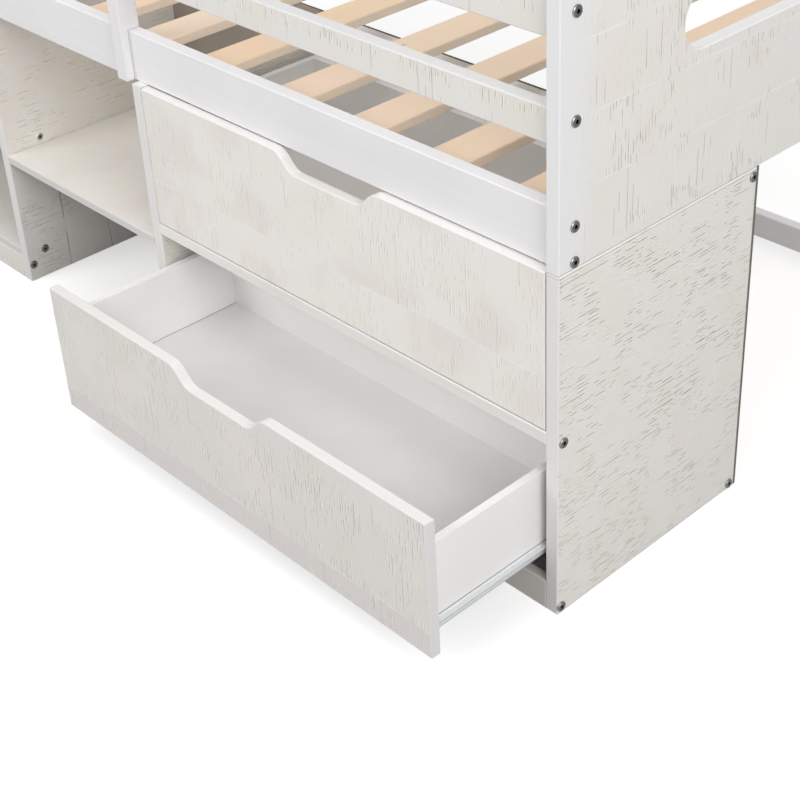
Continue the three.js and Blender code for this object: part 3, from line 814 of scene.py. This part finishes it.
def set_on_points(graph, given, head):
    """Sets a head on each point, facing along the point's outward attribute. Each vertex keeps its
    place on its own head, which the finish reads."""
    kept = graph.add("GeometryNodeStoreNamedAttribute",
                     {"Geometry": head, "Name": "on_head",
                      "Value": graph.add("GeometryNodeInputPosition", {})},
                     data_type="FLOAT_VECTOR", domain="POINT")
    outward = graph.add("GeometryNodeInputNamedAttribute", {"Name": "outward"},
                        data_type="FLOAT_VECTOR")
    turn = graph.add("FunctionNodeAlignRotationToVector", {"Vector": outward}, axis="Z")
    placed = graph.add("GeometryNodeInstanceOnPoints",
                       {"Points": given["Geometry"], "Instance": kept, "Rotation": turn})
    whole = graph.add("GeometryNodeRealizeInstances", {0: placed})
    out = graph.tree.nodes.new("NodeGroupOutput")
    covered = graph.add("GeometryNodeSetMaterial",
                        {"Geometry": whole, "Material": given["Finish"]})
    graph.feed(out.inputs[0], covered)


def head_tree(name, recess):
    """A tree of heads with a hexagonal socket, a cross, a slot or no recess."""
    tree = bpy.data.node_groups.new(name, "GeometryNodeTree")
    length = "NodeSocketFloat"
    given = declare_inputs(tree, {"Radius": length, "Rise": length, "Chamfer": length,
                                  "Recess radius": length, "Recess width": length,
                                  "Recess depth": length, "Sides": "NodeSocketInt",
                                  "Finish": "NodeSocketMaterial"})
    graph = Graph(tree)
    head = turned_head(graph, given)
    tall = graph.add("ShaderNodeMath", {0: given["Radius"], 1: 2.0}, operation="MULTIPLY")
    across = graph.add("ShaderNodeMath", {0: given["Recess radius"], 1: 2.0}, operation="MULTIPLY")
    cutters = []
    if recess == "hexagon":
        cutters.append(graph.add("GeometryNodeMeshCylinder",
                                 {"Vertices": 6, "Radius": given["Recess radius"],
                                  "Depth": tall}))
    if recess in ("cross", "slot"):
        size = graph.add("ShaderNodeCombineXYZ", {0: across, 1: given["Recess width"], 2: tall})
        cutters.append(graph.add("GeometryNodeMeshCube", {"Size": size}))
    if recess == "cross":
        size = graph.add("ShaderNodeCombineXYZ", {0: given["Recess width"], 1: across, 2: tall})
        cutters.append(graph.add("GeometryNodeMeshCube", {"Size": size}))
    if cutters:
        head = cut_recess(graph, given, head, cutters)
    set_on_points(graph, given, head)
    return tree


def metal_finish(name, metal, roughness, rim, recess):
    """Bare metal, with painted shade in its recess and a painted highlight on its rim. rim and recess
    are radii.
    """
    finish = Finish(name, roughness, 1.0)
    scuff = finish.noise(finish.place, scuffs_on_metal_per_metre, 3.0)
    on_head = finish.add("ShaderNodeAttribute", {}, "Vector", attribute_name="on_head")
    flat_place = finish.add("ShaderNodeVectorMath", {0: on_head, 1: (1, 1, 0)},
                            operation="MULTIPLY")
    from_axis = finish.add("ShaderNodeVectorMath", {0: flat_place}, "Value", operation="LENGTH")
    # A painted highlight on the rim and painted shade in the socket.
    bright = finish.ramp(from_axis, rim - 0.0006, rim)
    dark = finish.ramp(from_axis, recess, recess + 0.0004, 1, 0)
    shown = finish.mix(finish.times(scuff, scuff_strength), tinted(metal),
                       tinted(metal, scuffed_share))
    shown = finish.mix(finish.times(bright, rim_highlight_strength), shown, tinted(metal, rim_highlight_share))
    shown = finish.mix(finish.times(dark, recess_shade_strength), shown, tinted(metal, recess_shade_share))
    finish.colour(shown)
    finish.relief(scuff, metal_relief)
    return finish


def grow(name, tree, sizes, places, body):
    """Runs a tree on points that are given as (place, outward), as one plain mesh on a body."""
    seeds = bpy.data.meshes.new(name)
    seeds.from_pydata([place for place, outward in places], [], [])
    ways = seeds.attributes.new("outward", "FLOAT_VECTOR", "POINT")
    for item, (place, outward) in zip(ways.data, places):
        item.vector = outward
    piece = bpy.data.objects.new(name, seeds)
    bpy.context.scene.collection.objects.link(piece)
    modifier = piece.modifiers.new("tree", "NODES")
    modifier.node_group = tree
    for item in tree.interface.items_tree:
        if item.in_out == "INPUT" and item.name in sizes:
            modifier[item.identifier] = sizes[item.name]
    graph = bpy.context.evaluated_depsgraph_get()
    made = bpy.data.meshes.new_from_object(piece.evaluated_get(graph), depsgraph=graph)
    piece.modifiers.remove(modifier)
    piece.data = made
    made.name = name
    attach(piece, body)


right, back, up = Vector((1, 0, 0)), Vector((0, 1, 0)), Vector((0, 0, 1))
panel_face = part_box("end_panel_right")[1].x
bookcase_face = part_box("bookcase_side_right")[1].x
rear_rail_y = (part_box("rear_side_rail")[0].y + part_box("rear_side_rail")[1].y) / 2

panel_bolt_inset = 0.0285
panel_bolt_heights = (0.560, 0.610, 0.750, 0.886)
cabinet_bolts = ((0.400, 0.537), (0.395, 0.009), (0.0105, 0.294), (0.008, 0.011))
bookcase_bolts = ((0.040, 0.058), (0.010, 0.034))
shelf_bolt_inset, shelf_bolt_height = 0.072, 0.287
shelf_bolt_radius = 0.0072

outer_places = []
for height in panel_bolt_heights:
    outer_places.append((panel_face, front_y + panel_bolt_inset, height))
    outer_places.append((panel_face, rear_rail_y, height))
for inset, height in cabinet_bolts:
    outer_places.append((panel_face, front_y + inset, height))
bolt_places = [(place, right) for place in outer_places]
bolt_places += [((-x, y, z), -right) for x, y, z in outer_places]
bolt_places += [((bookcase_face, front_y + inset, height), right)
                for inset, height in bookcase_bolts]
dark_steel = metal_finish("polished dark steel", dark_steel_grey, 0.30,
                          bolt_radius - rim_highlight_width, bolt_socket_radius)
bolt_tree = head_tree("bolt heads", "hexagon")
bolt_sizes = {"Radius": bolt_radius, "Rise": bolt_rise, "Chamfer": bolt_chamfer,
              "Recess radius": bolt_socket_radius, "Recess depth": bolt_socket_depth,
              "Sides": bolt_sides, "Finish": dark_steel.material}
grow("bolt_heads", bolt_tree, bolt_sizes, bolt_places, "bed")

pale_steel = metal_finish("pale plated steel", pale_steel_grey, 0.36,
                          shelf_bolt_radius - rim_highlight_width, bolt_socket_radius)
shelf_bolt_place = (bookcase_face, front_y + shelf_bolt_inset, shelf_bolt_height)
grow("shelf_bolt_head", bolt_tree,
     {**bolt_sizes, "Radius": shelf_bolt_radius, "Finish": pale_steel.material},
     [(shelf_bolt_place, right)], "bed")

nut_radius = 0.005
nut_end_inset = 0.035
inner_front_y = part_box("front_side_rail")[1].y
inner_rear_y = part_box("rear_side_rail")[0].y
inner_end_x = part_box("front_side_rail")[1].x
nut_places = []
for height in panel_bolt_heights[1:]:
    for end in (-1, 1):
        nut_x = end * (inner_end_x - nut_end_inset)
        nut_places.append(((nut_x, inner_front_y, height), back))
        nut_places.append(((nut_x, inner_rear_y, height), -back))
zinc = metal_finish("zinc plate", zinc_grey, 0.34, nut_radius, 0.0005)
nut_sizes = {"Radius": nut_radius, "Rise": 0.0006, "Chamfer": 0.0002,
             "Recess radius": 0.0038, "Recess width": 0.0011, "Recess depth": 0.0004,
             "Sides": 24, "Finish": zinc.material}
grow("barrel_nuts", head_tree("barrel nuts", "slot"), nut_sizes, nut_places, "bed")


# Wood screws and panel pins
# Countersunk screws with a cross recess hold the ledgers to the rails, the posts to the front
# rail and the slides to the wood. Small round-headed pins hold the back panels all round.
screw_sizes = {"Radius": 0.0038, "Rise": 0.0008, "Chamfer": 0.0003,
               "Recess radius": 0.0021, "Recess width": 0.0009, "Recess depth": 0.0006,
               "Sides": 20, "Finish": zinc.material}
screw_tree = head_tree("screw heads", "cross")
ledger_screw_inset, ledger_screw_spacing = 0.05, 0.24
post_screw_rises = (0.052, 0.074)
slide_screw_front_inset, slide_screw_back_inset, slide_screw_spacing = 0.03, 0.05, 0.13


def evenly(low, high, most_apart):
    """Places from low to high, both taken, no further apart than most_apart."""
    steps = max(1, math.ceil((high - low) / most_apart))
    return [low + (high - low) * step / steps for step in range(steps + 1)]


screw_places = []
for ledger, facing in (("front_slat_ledger", back), ("rear_slat_ledger", -back)):
    low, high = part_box(ledger)
    face = high.y if facing.y > 0 else low.y
    for x in evenly(low.x + ledger_screw_inset, high.x - ledger_screw_inset, ledger_screw_spacing):
        screw_places.append(((x, face, (low.z + high.z) / 2), facing))
for post in ("guard_post_right", "guard_post_left"):
    low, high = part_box(post)
    for rise in post_screw_rises:
        screw_places.append((((low.x + high.x) / 2, inner_front_y, deck_joint + rise), back))
    for guard in ("front_guard_left_lower", "front_guard_left_upper"):
        guard_low, guard_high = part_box(guard)
        height = (guard_low.z + guard_high.z) / 2
        screw_places.append((((low.x + high.x) / 2, low.y, height), -back))
grow("screw_heads", screw_tree, screw_sizes, screw_places, "bed")

for drawer in drawers:
    under = []
    for side in ("left", "right"):
        wall_low, wall_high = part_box(f"{drawer}_side_{side}")
        for y in evenly(wall_low.y + slide_screw_front_inset, wall_high.y - slide_screw_back_inset,
                        slide_screw_spacing):
            under.append((((wall_low.x + wall_high.x) / 2, y, wall_low.z - slide_sheet), -up))
    grow(drawer + "_slide_screws", screw_tree, screw_sizes, under, drawer)

pin_sizes = {"Radius": 0.0016, "Rise": 0.0005, "Chamfer": 0.0004, "Sides": 12,
             "Finish": zinc.material}
pin_inset = 0.010
pin_spacing = 0.09
pin_places = []
for panel in back_panels:
    low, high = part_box(panel)
    for x in evenly(low.x + pin_inset, high.x - pin_inset, pin_spacing):
        for z in (low.z + pin_inset, high.z - pin_inset):
            pin_places.append(((x, high.y, z), back))
    for z in evenly(low.z + pin_inset, high.z - pin_inset, pin_spacing)[1:-1]:
        for x in (low.x + pin_inset, high.x - pin_inset):
            pin_places.append(((x, high.y, z), back))
grow("panel_pins", head_tree("panel pins", "none"), pin_sizes, pin_places, "bed")
